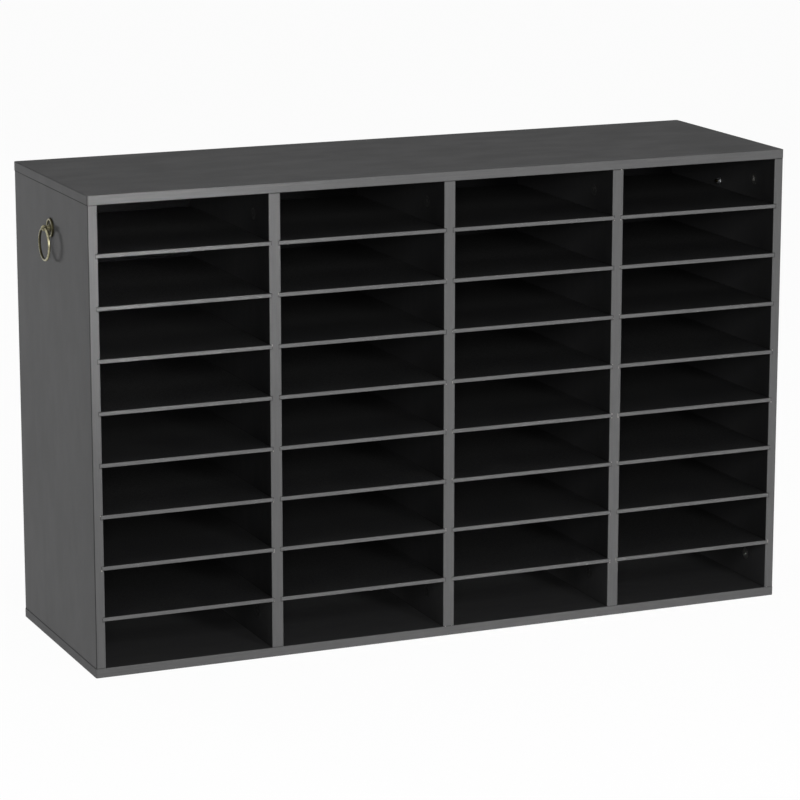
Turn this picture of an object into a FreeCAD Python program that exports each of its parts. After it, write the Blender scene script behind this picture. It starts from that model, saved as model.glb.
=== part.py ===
# Pigeonhole mail sorter: a knock-down cabinet of letter compartments with a ring pull on each side.
#
# Lengths are in millimetres. +Z is up, the open front faces -Y and +X is to the right of someone who
# stands before it. The origin is at floor level, in the middle of the cabinet's width and depth.
import FreeCAD
import Part
import math
import os

# ---------------------------------------------------------------------------------------------
# Driving sizes
# ---------------------------------------------------------------------------------------------

# The cabinet as a whole. The top and bottom panels set its width and depth.
CABINET_WIDTH = 960.0
CABINET_DEPTH = 300.0
CABINET_HEIGHT = 608.0
COLUMNS = 4
ROWS = 9

# The boards.
CAP_THICKNESS = 12.0             # top and bottom panels
SIDE_THICKNESS = 12.0
DIVIDER_THICKNESS = 15.0
SIDE_SETBACK = 1.0               # from the end of a cap in to the side panel's outer face
CAP_CORNER_RADIUS = 2.5          # the caps' four corners, seen from above
ARRIS_RADIUS = 0.8               # the boards' softened edges

# The back panel stands in a groove all round.
BACK_THICKNESS = 3.0
BACK_INSET = 8.0                 # from the boards' rear edges in to the back panel
BACK_GROOVE_DEPTH = 5.0
BACK_PLAY = 0.25                 # between the back panel and each wall of its groove
DIVIDER_BACK_PLAY = 0.5          # between a divider's rear edge and the back panel

# The shelves stand with both ends in grooves that are sawn the whole depth of the uprights.
SHELF_THICKNESS = 5.0
SHELF_NOSE_RADIUS = 0.9
SHELF_GROOVE_DEPTH = 3.0
SHELF_END_PLAY = 0.4             # from a shelf's end to the bottom of its groove
SHELF_TOP_PLAY = 0.4             # over a shelf that rests in its groove
SHELF_BACK_PLAY = 0.8            # from a shelf's rear edge to the back panel

# Cam joints hold each upright between the caps, one near the front and one near the rear.
CAM_DIAMETER = 15.0
CAM_PLAY = 0.1                   # round the cam in its bore, and under it
CAM_FROM_EDGE = 55.0             # from the cabinet's front and rear edges to the cams' centres
CAM_FROM_END = 34.0              # from the upright's end to the cam's centre
CAM_BEYOND_BOLT = 3.5            # the cam's length past the bolt's centre line
CAM_SLOT_WIDTH = 1.4             # the driver's cross
CAM_SLOT_LENGTH = 8.5
CAM_SLOT_DEPTH = 1.5

# The bolt that the cam draws in. Its thread is in the cap and its head is inside the cam.
BOLT_THREAD_DIAMETER = 7.0
BOLT_THREAD_LENGTH = 9.0
BOLT_SHAFT_DIAMETER = 6.0
BOLT_NECK_DIAMETER = 3.6
BOLT_HEAD_DIAMETER = 6.2
BOLT_HEAD_LENGTH = 3.4
BOLT_BORE_PLAY = 0.5             # round the shaft in the upright
BOLT_THREAD_PLAY = 0.05          # round the thread in the cap
BOLT_SHOULDER_PLAY = 0.5         # from the shaft's shoulder to the cam's rim
BOLT_HEAD_PLAY = 0.3             # round the head and the neck inside the cam

# Dowels line the uprights up with the caps.
DOWEL_DIAMETER = 6.0
DOWEL_LENGTH = 30.0
DOWEL_IN_CAP = 9.0
DOWEL_PLAY = 0.1                 # round the dowel
DOWEL_END_PLAY = 0.5             # past each end of the dowel
DOWEL_CHAMFER = 0.8
DOWEL_FROM_CAM = 32.0            # from a cam's centre inward to its dowel

# The ring pulls: a rosette, a ring bolt right through the side panel and a hanging ring.
PULL_ABOVE_SHELF = 9.8           # from the top shelf's upper face to the bolt's centre line
ROSETTE_DIAMETER = 25.0
ROSETTE_EDGE = 0.9               # thickness at the outer edge
ROSETTE_BEAD_HEIGHT = 2.6
ROSETTE_BEAD_WIDTH = 3.6
ROSETTE_DISH = 1.1               # thickness at the lowest part of the dish
ROSETTE_BOSS_DIAMETER = 8.4
ROSETTE_BOSS_HEIGHT = 2.9
COLLAR_DIAMETER = 6.6            # the ring bolt's collar on the rosette's boss
COLLAR_LENGTH = 0.9
STEM_DIAMETER = 4.2
BALL_DIAMETER = 8.0
BALL_FROM_SIDE = 8.8             # from the side panel's face to the ball's centre
RING_OUTER_DIAMETER = 43.5
RING_WIRE_DIAMETER = 3.2
RING_EYE_PLAY = 0.5              # round the wire in the ball's eye
SHANK_DIAMETER = 4.0
SHANK_PLAY = 0.1                 # round the shank in the side, rosette, washer and nut
SHANK_PAST_NUT = 2.4
WASHER_DIAMETER = 9.0
WASHER_THICKNESS = 0.8
NUT_ACROSS_FLATS = 7.0
NUT_THICKNESS = 3.2

# ---------------------------------------------------------------------------------------------
# Places worked out from the driving sizes
# ---------------------------------------------------------------------------------------------

FRONT = -CABINET_DEPTH / 2
REAR = CABINET_DEPTH / 2
FLOOR_TOP = CAP_THICKNESS                              # upper face of the bottom panel
CEILING = CABINET_HEIGHT - CAP_THICKNESS               # lower face of the top panel
SIDE_OUTER = CABINET_WIDTH / 2 - SIDE_SETBACK
SIDE_INNER = SIDE_OUTER - SIDE_THICKNESS

BACK_REAR = REAR - BACK_INSET
BACK_FRONT = BACK_REAR - BACK_THICKNESS
DIVIDER_REAR = BACK_FRONT - DIVIDER_BACK_PLAY
SHELF_REAR = BACK_FRONT - SHELF_BACK_PLAY

COLUMN_WIDTH = (2 * SIDE_INNER - (COLUMNS - 1) * DIVIDER_THICKNESS) / COLUMNS
ROW_HEIGHT = (CEILING - FLOOR_TOP - (ROWS - 1) * SHELF_THICKNESS) / ROWS

CAM_CENTRES = (FRONT + CAM_FROM_EDGE, REAR - CAM_FROM_EDGE)
DOWEL_CENTRES = (CAM_CENTRES[0] + DOWEL_FROM_CAM, CAM_CENTRES[1] - DOWEL_FROM_CAM)

X_AXIS = FreeCAD.Vector(1, 0, 0)
Y_AXIS = FreeCAD.Vector(0, 1, 0)
Z_AXIS = FreeCAD.Vector(0, 0, 1)
ORIGIN = FreeCAD.Vector(0, 0, 0)


def column_left(column):
    """Left wall of a compartment's column, counted from 0."""
    return -SIDE_INNER + column * (COLUMN_WIDTH + DIVIDER_THICKNESS)


def shelf_bottom(row):
    """Underside of the shelf below a row, counted from 0 at the top."""
    return CEILING - (row + 1) * (ROW_HEIGHT + SHELF_THICKNESS)


PULL_HEIGHT = shelf_bottom(0) + SHELF_THICKNESS + PULL_ABOVE_SHELF
RING_RADIUS = (RING_OUTER_DIAMETER - RING_WIRE_DIAMETER) / 2


# ---------------------------------------------------------------------------------------------
# Basic forms
# ---------------------------------------------------------------------------------------------


def block(x_low, x_high, y_low, y_high, z_low, z_high):
    """A box between two planes on each axis."""
    corner = FreeCAD.Vector(x_low, y_low, z_low)
    return Part.makeBox(x_high - x_low, y_high - y_low, z_high - z_low, corner)


def rod(diameter, start, direction, length):
    """A round bar, or the cutter for a round hole."""
    return Part.makeCylinder(diameter / 2, length, start, direction)


def edges_along(shape, direction):
    """The straight edges that run along a direction."""
    found = []
    for edge in shape.Edges:
        run = edge.Vertexes[-1].Point - edge.Vertexes[0].Point
        if run.Length > 0 and abs(run.normalize().dot(direction)) > 0.999:
            found.append(edge)
    return found


def edges_at_height(shape, height):
    """The edges that lie in a level plane."""
    return [e for e in shape.Edges if all(abs(v.Z - height) < 1e-6 for v in e.Vertexes)]


def turned(outline):
    """A solid turned about Z from an outline of (radius, height) points.

    An entry of four numbers is an arc: the point that it passes through, then its end.
    """
    edges = []
    last = FreeCAD.Vector(outline[0][0], 0, outline[0][1])
    for step in list(outline[1:]) + [outline[0]]:
        end = FreeCAD.Vector(step[-2], 0, step[-1])
        if len(step) == 4:
            through = FreeCAD.Vector(step[0], 0, step[1])
            edges.append(Part.Arc(last, through, end).toShape())
        else:
            edges.append(Part.LineSegment(last, end).toShape())
        last = end
    return Part.Face(Part.Wire(edges)).revolve(ORIGIN, Z_AXIS, 360)


# ---------------------------------------------------------------------------------------------
# Boards
# ---------------------------------------------------------------------------------------------


class Upright:
    """A side panel or divider, with the faces that are grooved and the face that the cams go into."""

    def __init__(self, name, x_low, x_high, rear, grooved, cam_side):
        self.name = name
        self.x_low = x_low
        self.x_high = x_high
        self.rear = rear
        self.grooved = grooved              # -1 for the face that looks to -X, 1 for +X
        self.middle = (x_low + x_high) / 2
        self.into = -cam_side               # the way a cam goes into the board
        self.cam_face = x_high if cam_side > 0 else x_low


def uprights():
    """Every upright, left to right."""
    boards = [Upright("left_side_panel", -SIDE_OUTER, -SIDE_INNER, REAR, (1,), 1)]
    for number in range(1, COLUMNS):
        left_face = column_left(number) - DIVIDER_THICKNESS
        name = f"divider_{number}"
        boards.append(Upright(name, left_face, column_left(number), DIVIDER_REAR, (-1, 1), -1))
    boards.append(Upright("right_side_panel", SIDE_INNER, SIDE_OUTER, REAR, (-1,), -1))
    return boards


def joint_planes():
    """The two ends of an upright: the height of the joint and the way into the upright."""
    return ((CEILING, -1), (FLOOR_TOP, 1))


def shelf_groove(board, face, row):
    """Cutter for the groove that takes the end of one shelf."""
    low = shelf_bottom(row)
    high = low + SHELF_THICKNESS + SHELF_TOP_PLAY
    surface = board.x_high if face > 0 else board.x_low
    bottom = surface - face * SHELF_GROOVE_DEPTH
    x_low, x_high = sorted((surface + face, bottom))
    return block(x_low, x_high, FRONT - 1, REAR + 1, low, high)


def back_groove_section():
    """Front and rear walls of the groove that takes the back panel."""
    return BACK_FRONT - BACK_PLAY, BACK_REAR + BACK_PLAY


def upright_board(board):
    """One upright with its shelf grooves, joint bores and, on a side panel, the back groove."""
    body = block(board.x_low, board.x_high, FRONT, board.rear, FLOOR_TOP, CEILING)
    body = body.makeFillet(ARRIS_RADIUS, edges_along(body, Z_AXIS))
    cutters = [shelf_groove(board, face, row) for face in board.grooved for row in range(ROWS - 1)]

    for height, into in joint_planes():
        direction = Z_AXIS * into
        for y in CAM_CENTRES:
            end = FreeCAD.Vector(board.middle, y, height)
            cutters.append(rod(BOLT_SHAFT_DIAMETER + 2 * BOLT_BORE_PLAY, end, direction, CAM_FROM_END))
            face = FreeCAD.Vector(board.cam_face, y, height + into * CAM_FROM_END)
            depth = cam_length(board) + CAM_PLAY
            cutters.append(rod(CAM_DIAMETER + 2 * CAM_PLAY, face, X_AXIS * board.into, depth))
        for y in DOWEL_CENTRES:
            end = FreeCAD.Vector(board.middle, y, height)
            depth = DOWEL_LENGTH - DOWEL_IN_CAP + DOWEL_END_PLAY
            cutters.append(rod(DOWEL_DIAMETER + 2 * DOWEL_PLAY, end, direction, depth))

    if len(board.grooved) == 1:
        inward = board.grooved[0]
        surface = board.x_high if inward > 0 else board.x_low
        x_low, x_high = sorted((surface + inward, surface - inward * BACK_GROOVE_DEPTH))
        front, rear = back_groove_section()
        cutters.append(block(x_low, x_high, front, rear, FLOOR_TOP, CEILING))
        outside = FreeCAD.Vector(-inward * (SIDE_OUTER + 1), 0, PULL_HEIGHT)
        hole = SHANK_DIAMETER + 2 * SHANK_PLAY
        cutters.append(rod(hole, outside, X_AXIS * inward, SIDE_THICKNESS + 2))
    return body.cut(cutters)


def cap_board(z_low, z_high, inner_face, outward):
    """The top or bottom panel. Its inner face takes the bolts, the dowels and the back panel."""
    half_width = CABINET_WIDTH / 2
    body = block(-half_width, half_width, FRONT, REAR, z_low, z_high)
    body = body.makeFillet(CAP_CORNER_RADIUS, edges_along(body, Z_AXIS))
    body = body.makeFillet(ARRIS_RADIUS, edges_at_height(body, z_low) + edges_at_height(body, z_high))

    cutters = []
    direction = Z_AXIS * outward
    for board in uprights():
        for y in CAM_CENTRES:
            mouth = FreeCAD.Vector(board.middle, y, inner_face)
            bore = BOLT_THREAD_DIAMETER + 2 * BOLT_THREAD_PLAY
            cutters.append(rod(bore, mouth, direction, BOLT_THREAD_LENGTH + CAM_PLAY))
        for y in DOWEL_CENTRES:
            mouth = FreeCAD.Vector(board.middle, y, inner_face)
            bore = DOWEL_DIAMETER + 2 * DOWEL_PLAY
            cutters.append(rod(bore, mouth, direction, DOWEL_IN_CAP + DOWEL_END_PLAY))

    front, rear = back_groove_section()
    groove_end = SIDE_INNER + BACK_GROOVE_DEPTH
    z_edges = sorted((inner_face - outward, inner_face + outward * BACK_GROOVE_DEPTH))
    cutters.append(block(-groove_end, groove_end, front, rear, z_edges[0], z_edges[1]))
    return body.cut(cutters)


def back_board():
    """The back panel, which reaches into the grooves of the sides and the caps."""
    reach = BACK_GROOVE_DEPTH - BACK_PLAY
    half_width = SIDE_INNER + reach
    return block(-half_width, half_width, BACK_FRONT, BACK_REAR, FLOOR_TOP - reach, CEILING + reach)


def shelf_board(column, row):
    """One shelf at rest on the lower faces of its two grooves, with a softened front edge."""
    reach = SHELF_GROOVE_DEPTH - SHELF_END_PLAY
    left = column_left(column) - reach
    right = column_left(column) + COLUMN_WIDTH + reach
    low = shelf_bottom(row)
    body = block(left, right, FRONT, SHELF_REAR, low, low + SHELF_THICKNESS)
    front_edges = [e for e in edges_along(body, X_AXIS) if abs(e.Vertexes[0].Y - FRONT) < 1e-6]
    return body.makeFillet(SHELF_NOSE_RADIUS, front_edges)


# ---------------------------------------------------------------------------------------------
# Joint fittings
# ---------------------------------------------------------------------------------------------


def cam_length(board):
    """Length of the cams in a board: from its face to a little past the bolt's centre line."""
    return abs(board.middle - board.cam_face) + CAM_BEYOND_BOLT


def cam_disc(board, y, height, into):
    """A cam with a driver's cross in its face, a pocket for the bolt's head and a slot for the neck."""
    centre = FreeCAD.Vector(board.cam_face, y, height + into * CAM_FROM_END)
    inward = X_AXIS * board.into
    length = cam_length(board)
    disc = rod(CAM_DIAMETER, centre, inward, length)

    pocket_start = abs(board.middle - board.cam_face) - BOLT_HEAD_DIAMETER / 2 - BOLT_HEAD_PLAY
    pocket_size = math.hypot(BOLT_HEAD_DIAMETER, BOLT_HEAD_LENGTH) + 2 * BOLT_HEAD_PLAY
    pocket = rod(pocket_size, centre + inward * pocket_start, inward, length - pocket_start + 1)

    half_neck = BOLT_NECK_DIAMETER / 2 + BOLT_HEAD_PLAY
    slot_x = sorted((board.middle - board.into * half_neck, board.cam_face + board.into * (length + 1)))
    slot_z = sorted((centre.z, centre.z - into * CAM_DIAMETER))
    neck_slot = block(slot_x[0], slot_x[1], y - half_neck, y + half_neck, slot_z[0], slot_z[1])

    cross = []
    cross_x = sorted((board.cam_face - board.into, board.cam_face + board.into * CAM_SLOT_DEPTH))
    for turn in (45, 135):
        half_length, half_width = CAM_SLOT_LENGTH / 2, CAM_SLOT_WIDTH / 2
        arm = block(cross_x[0], cross_x[1], y - half_length, y + half_length,
                    centre.z - half_width, centre.z + half_width)
        arm.rotate(centre, X_AXIS, turn)
        cross.append(arm)
    return disc.cut([pocket, neck_slot] + cross)


def cam_bolt(board, y, height, into):
    """A bolt whose thread goes into the cap and whose head stands at the cam's centre."""
    thread = BOLT_THREAD_DIAMETER / 2
    shaft = BOLT_SHAFT_DIAMETER / 2
    neck = BOLT_NECK_DIAMETER / 2
    head = BOLT_HEAD_DIAMETER / 2
    shoulder = CAM_FROM_END - CAM_DIAMETER / 2 - BOLT_SHOULDER_PLAY
    head_low = CAM_FROM_END - BOLT_HEAD_LENGTH / 2
    head_high = CAM_FROM_END + BOLT_HEAD_LENGTH / 2
    bolt = turned([
        (0, -BOLT_THREAD_LENGTH),
        (thread, -BOLT_THREAD_LENGTH),
        (thread, 0),
        (shaft, 0),
        (shaft, shoulder),
        (neck, shoulder),
        (neck, head_low),
        (head, (head_low + CAM_FROM_END) / 2),
        (head, CAM_FROM_END),
        (neck, head_high),
        (0, head_high),
    ])
    if into < 0:
        bolt.rotate(ORIGIN, X_AXIS, 180)
    bolt.translate(FreeCAD.Vector(board.middle, y, height))
    return bolt


def dowel(board, y, height, into):
    """A dowel with chamfered ends, partly in the cap and partly in the upright."""
    radius = DOWEL_DIAMETER / 2
    low = -DOWEL_IN_CAP
    high = DOWEL_LENGTH - DOWEL_IN_CAP
    pin = turned([
        (0, low),
        (radius - DOWEL_CHAMFER, low),
        (radius, low + DOWEL_CHAMFER),
        (radius, high - DOWEL_CHAMFER),
        (radius - DOWEL_CHAMFER, high),
        (0, high),
    ])
    if into < 0:
        pin.rotate(ORIGIN, X_AXIS, 180)
    pin.translate(FreeCAD.Vector(board.middle, y, height))
    return pin


def at_every_joint(make, centres):
    """One fitting at each of the given depths, at both ends of every upright."""
    return [make(board, y, height, into)
            for board in uprights()
            for height, into in joint_planes()
            for y in centres]


# ---------------------------------------------------------------------------------------------
# Ring pulls. Each piece is made standing on Z = 0 and then turned onto its side panel.
# ---------------------------------------------------------------------------------------------


def on_side(shape, side):
    """Turns a piece so that its Z points out of a side panel: -1 for the left and 1 for the right."""
    shape.rotate(ORIGIN, Y_AXIS, 90 * side)
    shape.translate(FreeCAD.Vector(side * SIDE_OUTER, 0, PULL_HEIGHT))
    return shape


def rosette():
    """A turned rosette: a thin edge, a raised bead, a shallow dish and a boss under the ring bolt."""
    hole = SHANK_DIAMETER / 2 + SHANK_PLAY
    rim = ROSETTE_DIAMETER / 2
    bead_inside = rim - ROSETTE_BEAD_WIDTH
    boss = ROSETTE_BOSS_DIAMETER / 2
    return turned([
        (hole, 0),
        (rim, 0),
        (rim, ROSETTE_EDGE),
        (rim - ROSETTE_BEAD_WIDTH / 2, ROSETTE_BEAD_HEIGHT, bead_inside, ROSETTE_DISH),
        (boss + 1.0, ROSETTE_DISH),
        (boss, ROSETTE_BOSS_HEIGHT),
        (hole, ROSETTE_BOSS_HEIGHT),
    ])


def ring_bolt():
    """The ring bolt: shank through the side panel, collar, stem and a ball drilled for the ring."""
    shank = SHANK_DIAMETER / 2
    shank_end = -(SIDE_THICKNESS + WASHER_THICKNESS + NUT_THICKNESS + SHANK_PAST_NUT)
    collar = COLLAR_DIAMETER / 2
    collar_top = ROSETTE_BOSS_HEIGHT + COLLAR_LENGTH
    stem = STEM_DIAMETER / 2
    ball = BALL_DIAMETER / 2
    stem_top = BALL_FROM_SIDE - math.sqrt(ball ** 2 - stem ** 2)
    body = turned([
        (0, shank_end),
        (shank - DOWEL_CHAMFER / 2, shank_end),
        (shank, shank_end + DOWEL_CHAMFER / 2),
        (shank, ROSETTE_BOSS_HEIGHT),
        (collar, ROSETTE_BOSS_HEIGHT),
        (collar, collar_top),
        (stem, collar_top),
        (stem, stem_top),
        (ball, BALL_FROM_SIDE, 0, BALL_FROM_SIDE + ball),
    ])
    eye = RING_WIRE_DIAMETER + 2 * RING_EYE_PLAY
    start = FreeCAD.Vector(0, -BALL_DIAMETER, BALL_FROM_SIDE)
    return body.cut(rod(eye, start, Y_AXIS, 2 * BALL_DIAMETER))


def washer():
    """The washer inside the cabinet, flat on the side panel's inner face."""
    base = FreeCAD.Vector(0, 0, -SIDE_THICKNESS - WASHER_THICKNESS)
    plate = rod(WASHER_DIAMETER, base, Z_AXIS, WASHER_THICKNESS)
    return plate.cut(rod(SHANK_DIAMETER + 2 * SHANK_PLAY, base, Z_AXIS, WASHER_THICKNESS))


def nut():
    """The hexagon nut under the washer."""
    base_height = -SIDE_THICKNESS - WASHER_THICKNESS - NUT_THICKNESS
    corner = NUT_ACROSS_FLATS / 2 / math.cos(math.pi / 6)
    points = [FreeCAD.Vector(corner * math.cos(math.pi / 3 * i), corner * math.sin(math.pi / 3 * i),
                             base_height) for i in range(7)]
    prism = Part.Face(Part.makePolygon(points)).extrude(Z_AXIS * NUT_THICKNESS)
    return prism.cut(rod(SHANK_DIAMETER + 2 * SHANK_PLAY, FreeCAD.Vector(0, 0, base_height), Z_AXIS,
                         NUT_THICKNESS))


def ring(side):
    """The ring, hanging from the ball's eye with its plane parallel to the side panel."""
    centre = FreeCAD.Vector(side * (SIDE_OUTER + BALL_FROM_SIDE), 0, PULL_HEIGHT - RING_RADIUS)
    return Part.makeTorus(RING_RADIUS, RING_WIRE_DIAMETER / 2, centre, X_AXIS)


# ---------------------------------------------------------------------------------------------
# The assembly
# ---------------------------------------------------------------------------------------------


def assembly():
    """Every node's name with its solids."""
    nodes = {
        "top_panel": [cap_board(CEILING, CABINET_HEIGHT, CEILING, 1)],
        "bottom_panel": [cap_board(0, FLOOR_TOP, FLOOR_TOP, -1)],
        "back_panel": [back_board()],
    }
    for board in uprights():
        nodes[board.name] = [upright_board(board)]
    for column in range(COLUMNS):
        for row in range(ROWS - 1):
            nodes[f"shelf_c{column + 1}_r{row + 1}"] = [shelf_board(column, row)]

    nodes["cam_discs"] = at_every_joint(cam_disc, CAM_CENTRES)
    nodes["cam_bolts"] = at_every_joint(cam_bolt, CAM_CENTRES)
    nodes["dowels"] = at_every_joint(dowel, DOWEL_CENTRES)

    for side, word in ((-1, "left"), (1, "right")):
        nodes[f"{word}_rosette"] = [on_side(rosette(), side)]
        nodes[f"{word}_ring_bolt"] = [on_side(ring_bolt(), side)]
        nodes[f"{word}_ring"] = [ring(side)]
    nodes["ring_washers"] = [on_side(washer(), side) for side in (-1, 1)]
    nodes["ring_nuts"] = [on_side(nut(), side) for side in (-1, 1)]
    return nodes


def main():
    os.makedirs("parts", exist_ok=True)
    for name, solids in assembly().items():
        shape = solids[0] if len(solids) == 1 else Part.makeCompound(solids)
        shape.exportStep(f"parts/{name}.step")
        print(f"{name}: {len(shape.Solids)} solid(s), {shape.Volume / 1000:.2f} cm3, valid {shape.isValid()}")


main()
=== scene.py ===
# %% [markdown]
# # A pigeonhole mail sorter
# The cabinet is a grid of flat boards: two full-width caps, two sides, three dividers and thirty-two
# thin shelves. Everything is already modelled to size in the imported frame, so this notebook is mostly
# about finish: black laminate with banded edges, painted hardboard, antiqued brass and cast zinc.

# %% Load the frame
import math

import bmesh
import bpy
import numpy as np
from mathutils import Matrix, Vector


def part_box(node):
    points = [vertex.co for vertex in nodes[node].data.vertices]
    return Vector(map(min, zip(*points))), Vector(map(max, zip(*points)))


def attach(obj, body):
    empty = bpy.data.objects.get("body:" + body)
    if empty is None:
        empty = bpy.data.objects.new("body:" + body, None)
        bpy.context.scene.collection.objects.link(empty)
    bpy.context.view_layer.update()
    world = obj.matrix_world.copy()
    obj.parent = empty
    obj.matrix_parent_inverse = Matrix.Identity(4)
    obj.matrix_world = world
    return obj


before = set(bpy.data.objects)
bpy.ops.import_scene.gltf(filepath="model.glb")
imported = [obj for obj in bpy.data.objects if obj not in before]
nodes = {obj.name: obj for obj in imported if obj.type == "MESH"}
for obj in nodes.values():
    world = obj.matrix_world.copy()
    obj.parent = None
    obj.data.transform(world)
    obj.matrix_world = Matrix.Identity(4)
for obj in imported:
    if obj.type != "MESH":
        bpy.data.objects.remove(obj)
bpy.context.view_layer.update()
print("pieces in the frame:", len(nodes))

# %% [markdown]
# ## Sizes
# Every pattern below is placed by the real boards, so the few sizes it needs are read from the frame:
# where the front plane is, how far apart the shelves stand and where the ring pulls hang.

# %% Sizes read from the frame
MM = 0.001
cap_low, cap_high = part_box("top_panel")
side_low, side_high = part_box("left_side_panel")
FRONT = cap_low.y
CEILING = cap_low.z
CAP_TOP = cap_high.z
FLOOR_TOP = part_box("bottom_panel")[1].z
CAP_END = cap_high.x
SIDE_OUTER = -side_low.x

shelf_low, shelf_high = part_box("shelf_c1_r1")
SHELF_PITCH = shelf_low.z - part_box("shelf_c1_r2")[0].z
SHELF_THICKNESS = shelf_high.z - shelf_low.z
TOP_SHELF = shelf_low.z

rosette_low, rosette_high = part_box("left_rosette")
PULL_HEIGHT = (rosette_low.z + rosette_high.z) / 2
ROSETTE_RADIUS = (rosette_high.z - rosette_low.z) / 2
print(f"shelves every {SHELF_PITCH / MM:.2f} mm, pull at {PULL_HEIGHT / MM:.1f} mm")

# %% [markdown]
# ## Shader maths as Python
# A finish is a formula on the surface: take the point, measure how far it lies from an edge, mix in some
# noise. Wrapping a node's output in a small class lets those formulas be written as Python expressions.
# Each operator adds one Math node, by way of `Nodes.node`, which adds every node there is.


# %% A socket with arithmetic
class Value:
    """One output of a node. Arithmetic on it adds Math nodes to the Nodes that own it."""

    def __init__(self, owner, socket):
        self.owner = owner
        self.socket = socket

    def math(self, operation, *others):
        inputs = {i: v for i, v in enumerate((self,) + others)}
        return self.owner.node("ShaderNodeMath", {"operation": operation}, inputs)

    def __add__(self, other):
        return self.math("ADD", other)

    def __mul__(self, other):
        return self.math("MULTIPLY", other)

    def __sub__(self, other):
        return self.math("SUBTRACT", other)

    def __rsub__(self, other):
        return self.owner.node("ShaderNodeMath", {"operation": "SUBTRACT"}, {0: other, 1: self})

    def __truediv__(self, other):
        return self.math("DIVIDE", other)

    def __pow__(self, other):
        return self.math("POWER", other)

    def __abs__(self):
        return self.math("ABSOLUTE")

    def fraction(self):
        return self.math("FRACT")

    def most(self, other):
        return self.math("MAXIMUM", other)

    def ramp(self, start, end, low=0.0, high=1.0):
        """Smoothly from low, where the value is at start, to high, where it is at end."""
        return self.owner.node(
            "ShaderNodeMapRange",
            {"interpolation_type": "SMOOTHSTEP"},
            {"Value": self, "From Min": start, "From Max": end, "To Min": low, "To Max": high},
        )

    def near(self, centre, width):
        """1 at centre, falling smoothly to 0 a width away."""
        return abs(self - centre).ramp(width, 0.0)


# %% The one method that adds nodes
class Nodes:
    """A node tree that is being filled."""

    def __init__(self, tree):
        self.tree = tree

    def wire(self, value, socket):
        """Links a value into a socket, or writes a plain number or colour onto it."""
        if isinstance(value, Value):
            self.tree.links.new(value.socket, socket)
        else:
            socket.default_value = value

    def node(self, kind, settings=None, inputs=None, output=0):
        """Adds a node: its settings first, then the value or link of each named or numbered socket."""
        made = self.tree.nodes.new(kind)
        for key, value in (settings or {}).items():
            setattr(made, key, value)
        for key, value in (inputs or {}).items():
            self.wire(value, made.inputs[key])
        return made if output is None else Value(self, made.outputs[output])


# %% [markdown]
# A finish starts from Blender's Principled shader. Numbers that are the same all over the piece go straight
# onto the shader's sockets; only what changes over the surface is wired.


# %% A finish
class Finish(Nodes):
    """A material being made: its node tree, its Principled shader and the object's own coordinates."""

    def __init__(self, name, **plain):
        self.material = bpy.data.materials.new(name)
        self.material.use_nodes = True
        super().__init__(self.material.node_tree)
        self.shader = self.tree.nodes["Principled BSDF"]
        for socket, number in plain.items():
            self.shader.inputs[socket.replace("_", " ")].default_value = number
        self.point = self.node("ShaderNodeTexCoord", output="Object")
        parts = self.node("ShaderNodeSeparateXYZ", {}, {0: self.point}, output=None)
        self.x, self.y, self.z = (Value(self, parts.outputs[i]) for i in range(3))

    def noise(self, scale, detail=3.0, roughness=0.5, stretch=(1, 1, 1)):
        """Cloudy noise, scale features to the metre, from 0 to 1. stretch makes it streaky."""
        where = self.node("ShaderNodeMapping", {}, {0: self.point, "Scale": stretch})
        inputs = {"Vector": where, "Scale": scale, "Detail": detail, "Roughness": roughness}
        return self.node("ShaderNodeTexNoise", {}, inputs, output=0)

    def mix(self, amount, first, second):
        """The first colour where amount is 0 and the second where it is 1."""
        first, second = (c if isinstance(c, Value) else (*c, 1.0) for c in (first, second))
        inputs = {"Factor": amount, 6: first, 7: second}
        return self.node("ShaderNodeMix", {"data_type": "RGBA"}, inputs, output=2)

    def bump(self, height, depth):
        """A bump that is depth metres high where height is 1."""
        return self.node("ShaderNodeBump", {}, {"Height": height, "Distance": depth, "Strength": 1.0})

    def wear(self, **wires):
        """Wires values that change over the surface into the shader and returns the material."""
        for socket, value in wires.items():
            self.wire(value, self.shader.inputs[socket.replace("_", " ")])
        return self.material


def dress(material, names):
    """Gives a CAD piece the material in every slot that it has."""
    for name in names:
        mesh = nodes[name].data
        if not mesh.materials:
            mesh.materials.append(material)
        for slot in range(len(mesh.materials)):
            mesh.materials[slot] = material


# %% [markdown]
# ## Where on the cabinet a point lies
# Grooves, seams and inner faces all repeat with the columns and rows. One mask and two distances, worked out
# from the point's own place, say which part of a board is being painted. They are measured from the boards'
# own sizes, so the seams land on the real joints however the boards are cut.

# %% Column and row pattern
column_low, column_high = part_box("divider_1")
DIVIDER_HALF = (column_high.x - column_low.x) / 2
COLUMN_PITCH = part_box("divider_2")[0].x - column_low.x
COLUMN_HALF = COLUMN_PITCH / 2 - DIVIDER_HALF
SIDE_INNER = SIDE_OUTER - (side_high.x - side_low.x)
GROOVE_DEPTH = (shelf_high.x - shelf_low.x) / 2 - COLUMN_HALF
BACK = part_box("back_panel")[1].y
MIDDLE = (CEILING + FLOOR_TOP) / 2
CLEAR_HALF = (CEILING - FLOOR_TOP) / 2


def inside(finish):
    """1 on the faces that look into the compartments, 0 on the outer faces and the front edges."""
    behind_edge = finish.y.ramp(FRONT + 0.6 * MM, FRONT + 1.0 * MM)
    before_back = finish.y.ramp(BACK + 0.6 * MM, BACK + 0.2 * MM)
    between_sides = abs(finish.x).ramp(SIDE_OUTER - 0.6 * MM, SIDE_OUTER - 1.2 * MM)
    between_caps = abs(finish.z - MIDDLE).ramp(CLEAR_HALF + 1.2 * MM, CLEAR_HALF + 0.6 * MM)
    return behind_edge * before_back * between_sides * between_caps


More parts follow.
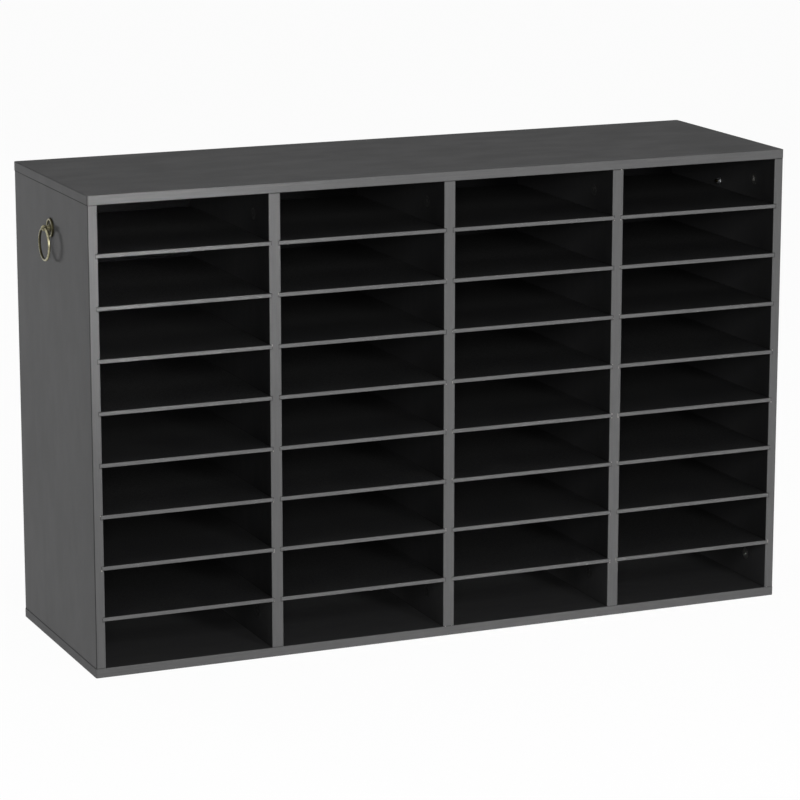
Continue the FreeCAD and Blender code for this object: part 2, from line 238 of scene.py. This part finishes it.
def depth_into_board(finish):
    """Metres from the nearest compartment wall into the board, on its front edge."""
    turns = (finish.x / COLUMN_PITCH).fraction() - 0.5
    return abs(turns) * COLUMN_PITCH - COLUMN_HALF


def height_over_groove(finish):
    """Metres up from the bottom of the nearest shelf groove."""
    rows = (finish.z - TOP_SHELF) / SHELF_PITCH + 0.5
    return (rows.fraction() - 0.5) * SHELF_PITCH


print(f"columns every {COLUMN_PITCH / MM:.2f} mm, grooves about {GROOVE_DEPTH / MM:.1f} mm deep")

# %% [markdown]
# ## Black laminate
# Particleboard faced with black melamine: a dense, slightly pearled sheet, pressed flat. A single dark grey
# looks like plastic, so three noises break it up: cloudy handling marks, a fine grain in the colour and a
# pebbled bump of a few hundredths of a millimetre. The front edges carry an iron-on band of nearly the same
# grey, faintly streaked along its length. Its glue line, with painted shade laid over it, makes each outer
# corner darker, and an arris that has lost its coat gives no bright line. The inner faces are painted darker
# than the outer ones: painted shade inside the compartments. The uprights' are darkest near the front and
# greyer behind: painted shade at the front, turning to painted light deeper in. The lowest compartments are
# painted lighter from the front, and lightest at their backs: painted light.

# %% Laminate colours
LAMINATE = (0.076, 0.076, 0.077)
LAMINATE_WORN = (0.092, 0.092, 0.093)
# Inner-face colours: painted shade, and a lighter deep colour for the uprights as painted light
CAP_INSIDE_SHADE = (0.0245, 0.0245, 0.0250)
UPRIGHT_INSIDE_SHADE = (0.0102, 0.0102, 0.0105)
UPRIGHT_DEEP_LIGHT = (0.0235, 0.0235, 0.0240)
# Painted light for the lowest row's inner faces
LOWEST_ROW_LIGHT = (0.078, 0.078, 0.079)
BAND = (0.066, 0.066, 0.067)
BAND_WORN = (0.080, 0.080, 0.080)
# Painted shade and shadow for seams, corners and slot outlines, laid over the glue lines where there are any
SEAM_SHADE = (0.010, 0.010, 0.010)
RAW_BOARD = (0.46, 0.44, 0.41)
DEPTH_LIGHT_FULL = FRONT + 130 * MM
LOWEST_LIGHT_STARTS = FRONT + 90 * MM
LOWEST_LIGHT_ENDS = FRONT + 240 * MM
ALONG_X = (0.03, 1, 1)
ALONG_Z = (1, 1, 0.03)


# %% The laminate's common part
def laminate(name, inner_front, inner_rear, band_streaks):
    """Starts a laminate finish: the sheet, the inner faces, which change from inner_front to inner_rear with
    their depth, and the band, which covers the front edge. The inner faces carry painted shade that turns to
    painted light deeper in, and the lowest row turns to painted light towards its back. Returns the finish,
    its colour and where the band is."""
    finish = Finish(name, Roughness=0.6, Specular_IOR_Level=0.0, Coat_Roughness=0.38)
    clouds = finish.noise(7.0, 4.0)
    grain = finish.noise(900.0, 2.0, 0.6)
    marks = clouds.ramp(0.3, 0.75, 0.0, 0.35) + grain.ramp(0.3, 0.8, 0.0, 0.5)
    streaks = finish.noise(500.0, 3.0, 0.6, stretch=band_streaks)
    on_band = finish.y.ramp(FRONT + 0.5 * MM, FRONT + 0.3 * MM)
    sheet = finish.mix(marks, LAMINATE, LAMINATE_WORN)
    lowest_row = finish.z.ramp(FLOOR_TOP + SHELF_PITCH, FLOOR_TOP + SHELF_PITCH - SHELF_THICKNESS)
    # Painted shade on the inner faces, turning to painted light with depth
    depth_light = finish.y.ramp(FRONT, DEPTH_LIGHT_FULL).most(lowest_row)
    # The lowest row is painted lighter towards its back: painted light
    lowest_light = finish.y.ramp(LOWEST_LIGHT_STARTS, LOWEST_LIGHT_ENDS) * lowest_row
    inner_face = finish.mix(lowest_light, finish.mix(depth_light, inner_front, inner_rear), LOWEST_ROW_LIGHT)
    sheet = finish.mix(inside(finish), sheet, inner_face)
    band = finish.mix(streaks.ramp(0.3, 0.7) * 0.7 + grain * 0.3, BAND, BAND_WORN)
    return finish, finish.mix(on_band, sheet, band), on_band


def laminate_skin(finish, colour, dulled):
    """The laminate's sheen and pebbled surface. dulled is 1 where an edge has lost its gloss."""
    wipes = finish.noise(16.0, 3.0, 0.6, stretch=(1.0, 2.5, 1.0))
    pearl = finish.noise(1400.0, 2.0, 0.55)
    return finish.wear(
        Base_Color=colour,
        Coat_Weight=wipes.ramp(0.3, 0.75, 0.10, 0.15) * (1 - dulled),
        Normal=finish.bump(pearl, 0.03 * MM),
    )


# %% Caps: the band's glue line and painted shade darken the two upper front corners; painted shadow in the joints
def cap_laminate():
    finish, colour, _ = laminate("cap laminate", CAP_INSIDE_SHADE, CAP_INSIDE_SHADE, ALONG_X)
    from_end = CAP_END - abs(finish.x)
    on_top_cap = finish.z.ramp(FLOOR_TOP, CEILING)
    # Painted shade on the rounded upper front corners, over the band's glue line
    corner = (from_end + (finish.y - FRONT)).ramp(2.6 * MM, 1.8 * MM) * on_top_cap * 0.45
    top_arris = from_end.ramp(1.4 * MM, 0.9 * MM) * (CAP_TOP - finish.z).ramp(1.4 * MM, 0.9 * MM)
    # Painted shadow in the joint with the sides: the arris there is darkened as well as dulled
    joint_arris = from_end.ramp(1.4 * MM, 1.1 * MM) * abs(finish.z - MIDDLE).ramp(
        CLEAR_HALF + 1.0 * MM, CLEAR_HALF + 0.5 * MM)
    dark = corner.most(joint_arris * (on_top_cap * 0.6 + 0.2))
    return laminate_skin(finish, finish.mix(dark, colour, SEAM_SHADE), top_arris.most(joint_arris))


# %% [markdown]
# The uprights get what the saw leaves. A shelf's end stands in a groove that is cut right
# through the band, so a thin painted shadow outlines it in the gap, and where the band tore, the raw
# particleboard shows as a pale speck at the end of the slot. The band is weakest towards the lower right,
# so most specks lie there. The boards meet the caps in a dark line, a painted shadow in the joint, which
# fades on the outside towards the base. The side's outer front corner has the band's glue line with
# painted shade over it.


# %% Uprights: painted shadow in the joints and slot outlines, painted shade at the outer corner, torn specks
SIDE_SLOT_END = SIDE_INNER + 7 * MM


def upright_laminate():
    finish, colour, on_band = laminate("upright laminate", UPRIGHT_INSIDE_SHADE, UPRIGHT_DEEP_LIGHT, ALONG_Z)
    at_outside = abs(finish.x).ramp(SIDE_OUTER - 0.9 * MM, SIDE_OUTER - 0.5 * MM)
    # Painted shade along the outer front corner, over the band's glue line
    outer_corner = at_outside * finish.y.ramp(FRONT + 2.2 * MM, FRONT + 1.6 * MM)
    # Painted shadow in the joint with the caps, fainter outside towards the base
    joint = abs(finish.z - MIDDLE).ramp(CLEAR_HALF - 1.0 * MM, CLEAR_HALF - 0.5 * MM)
    joint = joint * (1 - at_outside * finish.z.ramp(MIDDLE, FLOOR_TOP, 0.0, 0.8))

    depth = depth_into_board(finish)
    above = abs(height_over_groove(finish) - SHELF_THICKNESS / 2) - SHELF_THICKNESS / 2
    in_slot = above.ramp(1.0 * MM, 0.6 * MM)
    slot_end = depth.near(GROOVE_DEPTH + 0.5 * MM, 0.7 * MM) * in_slot
    slot_sides = above.near(0.4 * MM, 0.6 * MM) * depth.ramp(GROOVE_DEPTH + 0.8 * MM, GROOVE_DEPTH)
    slotted = on_band * abs(finish.x).ramp(SIDE_SLOT_END + 0.5 * MM, SIDE_SLOT_END)
    # Painted shadow in the gap around each shelf's end in its slot
    outline = slot_end.most(slot_sides) * slotted
    dark = (joint * 0.75).most(outer_corner * 0.6).most(outline * 0.75)
    colour = finish.mix(dark, colour, SEAM_SHADE)

    weak = finish.x.ramp(-0.5, 0.3, 0.0, 0.10) + finish.z.ramp(0.6, 0.1, 0.0, 0.03)
    torn = (finish.noise(180.0, 2.0, 0.5) + weak).ramp(0.60, 0.70, 0.0, 0.8)
    specks = depth.near(GROOVE_DEPTH + 0.3 * MM, 1.1 * MM) * in_slot * slotted * torn
    return laminate_skin(finish, finish.mix(specks, colour, RAW_BOARD), outer_corner)


dress(cap_laminate(), ["top_panel", "bottom_panel"])
uprights = ["left_side_panel", "right_side_panel"] + [n for n in nodes if n.startswith("divider_")]
dress(upright_laminate(), uprights)
print("laminate on", len(uprights) + 2, "boards")

# %% [markdown]
# ## Painted hardboard
# The shelves and the back are pressed fibre, sprayed black. Their faces are painted darker than laminate,
# as painted shade for the insides of the compartments; the paint is duller and shows the fibres as a soft,
# directionless felt. A thin broken sheen lies on top.
# It has nothing to mirror inside a compartment, but lights up when a shelf is drawn out under the sky. The
# back faces the open front and would mirror it as a pale strip in every compartment, so that face has no
# sheen, and it is painted blacker still as painted shade. The shelves' rear halves are painted lighter, as
# painted light deep in the compartments. Their front edge is sawn, sanded and painted like the band beside
# it.

# %% Hardboard
# Face colours: painted shade for the insides of the compartments
HARDBOARD_SHADE = (0.010, 0.010, 0.0105)
HARDBOARD_SHADE_DRY = (0.017, 0.017, 0.017)
HARDBOARD_DEEP_LIGHT = (0.023, 0.023, 0.023)
BACK_INSIDE_SHADE = (0.0065, 0.0065, 0.0068)
REAR_FACE = (0.030, 0.030, 0.031)
SHELF_EDGE = (0.074, 0.074, 0.075)
SHELF_EDGE_WORN = (0.092, 0.092, 0.092)
SHELF_LIGHT_STARTS = FRONT + 80 * MM
SHELF_LIGHT_FULL = FRONT + 170 * MM
BACK_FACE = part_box("back_panel")[0].y


def hardboard():
    finish = Finish("painted hardboard", Roughness=0.7, Specular_IOR_Level=0.0, Coat_Roughness=0.45)
    felt = finish.noise(650.0, 4.0, 0.7)
    clouds = finish.noise(11.0, 3.0)
    streaks = finish.noise(420.0, 3.0, 0.6, stretch=ALONG_X)
    dry = felt.ramp(0.35, 0.75, 0.0, 0.6) + clouds.ramp(0.4, 0.7, 0.0, 0.4)
    face = finish.mix(dry, HARDBOARD_SHADE, HARDBOARD_SHADE_DRY)
    # The rear halves are painted lighter: painted light deep in the compartments
    face = finish.mix(finish.y.ramp(SHELF_LIGHT_STARTS, SHELF_LIGHT_FULL), face, HARDBOARD_DEEP_LIGHT)
    on_back = finish.y.near(BACK_FACE, 1.0 * MM)
    # The back's front face is painted blacker: painted shade
    face = finish.mix(on_back, face, BACK_INSIDE_SHADE)
    face = finish.mix(finish.y.ramp(BACK - 1.0 * MM, BACK - 0.5 * MM), face, REAR_FACE)
    edge = finish.mix(streaks.ramp(0.3, 0.7), SHELF_EDGE, SHELF_EDGE_WORN)
    on_front = finish.y.ramp(FRONT + 0.9 * MM, FRONT + 0.5 * MM)
    return finish.wear(
        Base_Color=finish.mix(on_front, face, edge),
        Coat_Weight=felt.ramp(0.3, 0.75, 0.5, 0.2) * (1 - on_front * 0.8) * (1 - on_back),
        Normal=finish.bump(felt, 0.05 * MM),
    )


shelves = [name for name in nodes if name.startswith("shelf_")]
dress(hardboard(), shelves + ["back_panel"])
print("hardboard on", len(shelves) + 1, "sheets")

# %% [markdown]
# ## Antiqued brass
# The pulls are dipped until they go brown and then rubbed, so the brass is bright where a thumb or a cloth
# reaches and dark in the hollows. On the rosette that is a matter of radius: bright on the bead, dark in the
# dish, and a little brighter on the boss. A ring is rubbed on its outside and keeps its brown inside the
# loop. The bolt stays brown all over inside the cabinet, where no cloth goes.

# %% Brass
BRASS_RUBBED = (0.38, 0.355, 0.23)
BRASS_BROWN = (0.022, 0.019, 0.009)
ring_low, ring_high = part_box("left_ring")
RING_CENTRE = (ring_low.z + ring_high.z) / 2
RING_OUTER = (ring_high.z - ring_low.z) / 2
WIRE = 3.2 * MM
BEAD_AT = 0.84
BOSS_AT = 0.3


def radius_from(finish, height):
    """Metres from a line across the cabinet, at this height and half-way back."""
    return (finish.y ** 2 + (finish.z - height) ** 2).math("SQRT")


def brass(name, worn):
    """Antiqued brass. worn makes, from the finish, how much of it a cloth can reach."""
    finish = Finish(name, Metallic=1.0, Roughness=0.34)
    blotches = finish.noise(260.0, 3.0, 0.6)
    rub = worn(finish) * blotches.ramp(0.28, 0.62, 0.45, 1.0)
    scratches = finish.noise(2200.0, 2.0, 0.6, stretch=(1.0, 0.2, 1.0))
    return finish.wear(
        Base_Color=finish.mix(rub, BRASS_BROWN, BRASS_RUBBED),
        Roughness=rub.ramp(0.2, 1.0, 0.5, 0.34),
        Normal=finish.bump(scratches, 0.01 * MM),
    )


def bead_and_boss(finish):
    """Rubbed at two parts of the rosette's radius: the bead and, less, the boss."""
    radius = radius_from(finish, PULL_HEIGHT) / ROSETTE_RADIUS
    return radius.near(BEAD_AT, 0.15).most(radius.near(BOSS_AT, 0.12) * 0.3) * 0.8 + 0.02


def outside_of_ring(finish):
    """Rubbed on the outer half of the wire."""
    radius = radius_from(finish, RING_CENTRE)
    return radius.ramp(RING_OUTER - 0.85 * WIRE, RING_OUTER - 0.5 * WIRE, 0.08, 1.0)


def handled(finish):
    """Rubbed in patches, and only outside the cabinet."""
    outside = abs(finish.x).ramp(SIDE_INNER, SIDE_INNER + 2 * MM)
    return finish.noise(500.0, 2.0).ramp(0.35, 0.65, 0.4, 1.0) * outside


bolt_brass = brass("bolt brass", handled)
dress(brass("rosette brass", bead_and_boss), ["left_rosette", "right_rosette"])
dress(brass("ring brass", outside_of_ring), ["left_ring", "right_ring"])
dress(bolt_brass, ["left_ring_bolt", "right_ring_bolt"])

# %% [markdown]
# ## The thread on the ring bolts
# Each ring bolt goes through the side and ends inside the cabinet, where its last turns of thread stand out
# of the nut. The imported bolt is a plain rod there. A Screw modifier could turn a notch into a thread, but a
# rolled thread also runs out at both ends, so the ridge is worked out as a surface of two parameters
# instead: the angle along the thread and the place across the ridge. It is sunk a little into the rod, so
# no gap shows.


# %% A closed surface from rings of points
def closed_mesh(name, rings, material):
    """Joins neighbouring rings of points with quads, caps the two ends and points the faces outwards."""
    rows, across = rings.shape[:2]
    row, place = np.meshgrid(np.arange(rows - 1), np.arange(across), indexing="ij")
    here, beside = row * across + place, row * across + (place + 1) % across
    faces = np.stack([here, beside, beside + across, here + across], axis=-1).reshape(-1, 4).tolist()
    caps = [list(range(across)), list(range((rows - 1) * across, rows * across))]
    mesh = bpy.data.meshes.new(name)
    mesh.from_pydata(rings.reshape(-1, 3).tolist(), [], faces + caps)
    shell = bmesh.new()
    shell.from_mesh(mesh)
    bmesh.ops.recalc_face_normals(shell, faces=shell.faces)
    shell.to_mesh(mesh)
    shell.free()
    mesh.materials.append(material)
    made = bpy.data.objects.new(name, mesh)
    bpy.context.scene.collection.objects.link(made)
    return made


# %% Thread ridges
SHANK_RADIUS = 2.0 * MM
NUT_THICKNESS = 3.2 * MM
THREAD_PITCH = 0.7 * MM
RIDGE_HEIGHT = 0.13 * MM
RIDGE_SUNK = 0.08 * MM
RIDGE_FOOT_HALF = 0.42 * THREAD_PITCH
RIDGE_CREST_HALF = 0.08 * THREAD_PITCH
SECTIONS_A_TURN = 32
THREAD_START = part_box("ring_nuts")[0].x + NUT_THICKNESS
THREAD_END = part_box("left_ring_bolt")[1].x


def thread_ridge():
    """The left bolt's ridge. It starts half a pitch past the nut and climbs one pitch a turn:
    x = start + pitch * (1/2 + angle / full turn). Its crest stands off the rod by the ridge height, which
    fades to nothing over the first and last quarter turn."""
    turns = (THREAD_END - THREAD_START) / THREAD_PITCH - 1
    angle = np.linspace(0, turns * 2 * np.pi, round(turns * SECTIONS_A_TURN))
    run_out = np.clip(np.minimum(angle, angle[-1] - angle) / (np.pi / 2), 0, 1)
    across = np.array([-RIDGE_FOOT_HALF, -RIDGE_CREST_HALF, RIDGE_CREST_HALF, RIDGE_FOOT_HALF])
    rise = np.array([0, 1, 1, 0])
    radius = SHANK_RADIUS - RIDGE_SUNK + rise * (RIDGE_SUNK + RIDGE_HEIGHT * run_out[:, None])
    x = THREAD_START + THREAD_PITCH * (0.5 + angle[:, None] / (2 * np.pi)) + across
    y = radius * np.cos(angle)[:, None]
    z = radius * np.sin(angle)[:, None] + PULL_HEIGHT
    return np.stack([x, y, z], axis=-1)


ridge = thread_ridge()
for side, turned in (("left", 1), ("right", -1)):
    piece = closed_mesh(f"{side}_ring_thread", ridge * (turned, turned, 1), bolt_brass)
    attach(piece, "cabinet")
print(f"thread ridge of {len(ridge)} sections, {(THREAD_END - THREAD_START) / MM:.1f} mm past the nut")

# %% [markdown]
# ## Cast zinc, plated steel and beech
# The cams are die-cast zinc, grey and a little grainy. Those in the dividers are coloured near black as
# painted shade, so that they hardly show on the black board; those in the sides are left bright. Nuts,
# washers and cam bolts are plated steel, finely scratched by turning. The dowels are beech, with its short
# flecks.

# %% Small metals and dowels
ZINC_GREY = (0.45, 0.45, 0.44)
ZINC_BRIGHT = (0.68, 0.68, 0.66)
# Painted shade for the cams in the dividers
DIVIDER_CAM_SHADE = (0.017, 0.017, 0.017)
STEEL_GREY = (0.42, 0.43, 0.44)
STEEL_BRIGHT = (0.60, 0.61, 0.62)
BEECH_FLECK = (0.62, 0.43, 0.26)
BEECH_PALE = (0.78, 0.6, 0.4)
HALF_WAY_TO_SIDE = 1.5 * COLUMN_PITCH


def zinc():
    finish = Finish("cast zinc", Roughness=0.35)
    grain = finish.noise(1600.0, 3.0, 0.6)
    bright = finish.mix(grain.ramp(0.3, 0.7), ZINC_GREY, ZINC_BRIGHT)
    # The dividers' cams get the painted shade colour; those in the sides stay bright metal
    in_side = abs(finish.x).ramp(HALF_WAY_TO_SIDE - 20 * MM, HALF_WAY_TO_SIDE + 20 * MM)
    return finish.wear(
        Base_Color=finish.mix(in_side, DIVIDER_CAM_SHADE, bright),
        Metallic=in_side,
        Roughness=grain.ramp(0.3, 0.7, 0.42, 0.28),
        Normal=finish.bump(grain, 0.03 * MM),
    )


def plated_steel():
    finish = Finish("plated steel", Metallic=1.0, Roughness=0.25)
    turning = finish.noise(1500.0, 2.0, 0.5, stretch=(4.0, 1.0, 1.0))
    return finish.wear(
        Base_Color=finish.mix(turning, STEEL_GREY, STEEL_BRIGHT),
        Roughness=turning.ramp(0.3, 0.7, 0.3, 0.45),
    )


def beech():
    finish = Finish("beech", Roughness=0.6)
    flecks = finish.noise(900.0, 3.0, 0.6, stretch=(1.0, 1.0, 0.12))
    return finish.wear(
        Base_Color=finish.mix(flecks.ramp(0.35, 0.7), BEECH_FLECK, BEECH_PALE),
        Roughness=flecks.ramp(0.3, 0.7, 0.55, 0.7),
    )


dress(zinc(), ["cam_discs"])
dress(plated_steel(), ["cam_bolts", "ring_nuts", "ring_washers"])
dress(beech(), ["dowels"])

# %% [markdown]
# ## Studio
# A white floor under a white sky. Both are white to the camera and to reflections, but they light the object
# only gently. Part of the floor's shade is real, so the cabinet still stands on its own soft shadow.


# %% White to the camera, gentle to everything else
PLAIN_WHITE_SHARE = 0.96
FLOOR_HALF = 60.0


def seen_directly(owner):
    """1 for rays from the camera, a mirror or glass, and 0 for the light that falls on things."""
    rays = owner.node("ShaderNodeLightPath", output=None)
    camera, mirror, glass = (Value(owner, rays.outputs[name]) for name in
                             ("Is Camera Ray", "Is Glossy Ray", "Is Transmission Ray"))
    return camera.most(mirror).most(glass)


def studio_floor():
    finish = Finish("studio floor", Base_Color=(0.9, 0.9, 0.9, 1.0), Roughness=0.9)
    white = finish.node("ShaderNodeEmission", {}, {"Color": (1, 1, 1, 1), "Strength": 1.0})
    shaded = Value(finish, finish.shader.outputs[0])
    whitened = seen_directly(finish) * PLAIN_WHITE_SHARE
    blend = finish.node("ShaderNodeMixShader", {}, {0: whitened, 1: shaded, 2: white})
    finish.wire(blend, finish.tree.nodes["Material Output"].inputs["Surface"])
    return finish.material


def sheet_mesh(name, half):
    """A flat square at floor level, its corners half a side away on each axis."""
    mesh = bpy.data.meshes.new(name)
    corners = np.array([[-half, -half, 0], [half, -half, 0], [half, half, 0], [-half, half, 0]])
    mesh.from_pydata(corners.tolist(), [], [(0, 1, 2, 3)])
    made = bpy.data.objects.new(name, mesh)
    bpy.context.scene.collection.objects.link(made)
    return made


floor = sheet_mesh("studio_floor", FLOOR_HALF)
floor.data.materials.append(studio_floor())


# %% Sky
SKY_LEVEL = 0.2
world = bpy.data.worlds.new("studio sky")
bpy.context.scene.world = world
world.use_nodes = True
sky = Nodes(world.node_tree)
background = sky.tree.nodes["Background"]
sky.wire((1, 1, 1, 1), background.inputs["Color"])
sky.wire(seen_directly(sky).ramp(0.0, 1.0, SKY_LEVEL, 1.0), background.inputs["Strength"])


# %% [markdown]
# A black object needs its lamps placed one face at a time. The key and a lamp from the right light the front,
# one beside the camera reaches into the compartments, and one overhead lights the top. Two weak lamps in deep
# hoods throw a pool of light each, one on the upper left corner of the front and one along the base. The left
# side is lit from low behind, so that each pull throws a soft shadow towards the front. The laminate's coat
# would mirror that lamp as a streak of glare, and the brass would mirror the hoods as sharp dots, so these
# three are left out of reflections, which the others are part of.

# %% Lamps
NO_HOOD = 180
DEEP_HOOD = 22


def softbox(name, place, aim, width, height, power, mirrored=True, spread=NO_HOOD):
    """An oblong area lamp at place, turned to face aim and unseen by the camera. power is in watts, and
    spread is the angle, in degrees, that its hood leaves open."""
    data = bpy.data.lights.new(name, "AREA")
    data.shape = "RECTANGLE"
    data.size = width
    data.size_y = height
    data.energy = power
    data.spread = math.radians(spread)
    lamp = bpy.data.objects.new(name, data)
    lamp.location = place
    towards = np.array(aim, float) - np.array(place, float)
    flat = math.hypot(towards[0], towards[1])
    lamp.rotation_euler = (math.pi / 2 + math.atan2(towards[2], flat), 0,
                           math.atan2(towards[1], towards[0]) - math.pi / 2)
    lamp.visible_camera = False
    lamp.visible_glossy = mirrored
    bpy.context.scene.collection.objects.link(lamp)


softbox("key", (-0.5, -2.4, 1.3), (-0.42, -0.1, 0.5), 0.5, 0.5, 30.8)
softbox("front right", (0.9, -3.6, 0.7), (0.1, 0, 0.3), 0.6, 0.6, 59)
softbox("beside the camera", (-1.75, -4.0, 1.25), (0, 0, 0.3), 0.6, 0.6, 58)
softbox("overhead", (0, 0.2, 2.6), (0, 0, 0.6), 1.5, 1.5, 6.9)
softbox("raking left", (-1.85, 3.76, 0.2), (-0.48, 0, 0.3), 0.55, 0.3, 235, mirrored=False)
softbox("pool, upper left", (-0.46, -1.8, 0.62), (-0.46, -0.15, 0.56), 0.15, 0.15, 0.48,
        mirrored=False, spread=DEEP_HOOD)
softbox("pool, base", (0.6, -3.0, 0.25), (0.15, -0.15, 0.05), 0.3, 0.2, 0.324,
        mirrored=False, spread=DEEP_HOOD)

# %% [markdown]
# ## Camera
# A long lens, a little above the cabinet and to its left, so that the left side shows and the rows of
# compartments fall away to the right. Its turn and dip are in degrees.

# %% Camera
CAMERA_PLACE = (-1.7319, -4.0307, 1.2754)
CAMERA_TURN = 23.199
CAMERA_DIP = 12.761
FOCAL_PIXELS = 3407.3
FRAME_PIXELS = 800
SENSOR_WIDTH = 36.0
VIEW_REACH = 200.0
lens = bpy.data.cameras.new("camera")
lens.sensor_width = SENSOR_WIDTH
lens.lens = SENSOR_WIDTH * FOCAL_PIXELS / FRAME_PIXELS
lens.clip_end = VIEW_REACH
camera = bpy.data.objects.new("camera", lens)
camera.location = CAMERA_PLACE
camera.rotation_euler = (math.radians(90 - CAMERA_DIP), 0, math.radians(-CAMERA_TURN))
bpy.context.scene.collection.objects.link(camera)
bpy.context.scene.camera = camera
bpy.context.scene.view_settings.view_transform = "Standard"
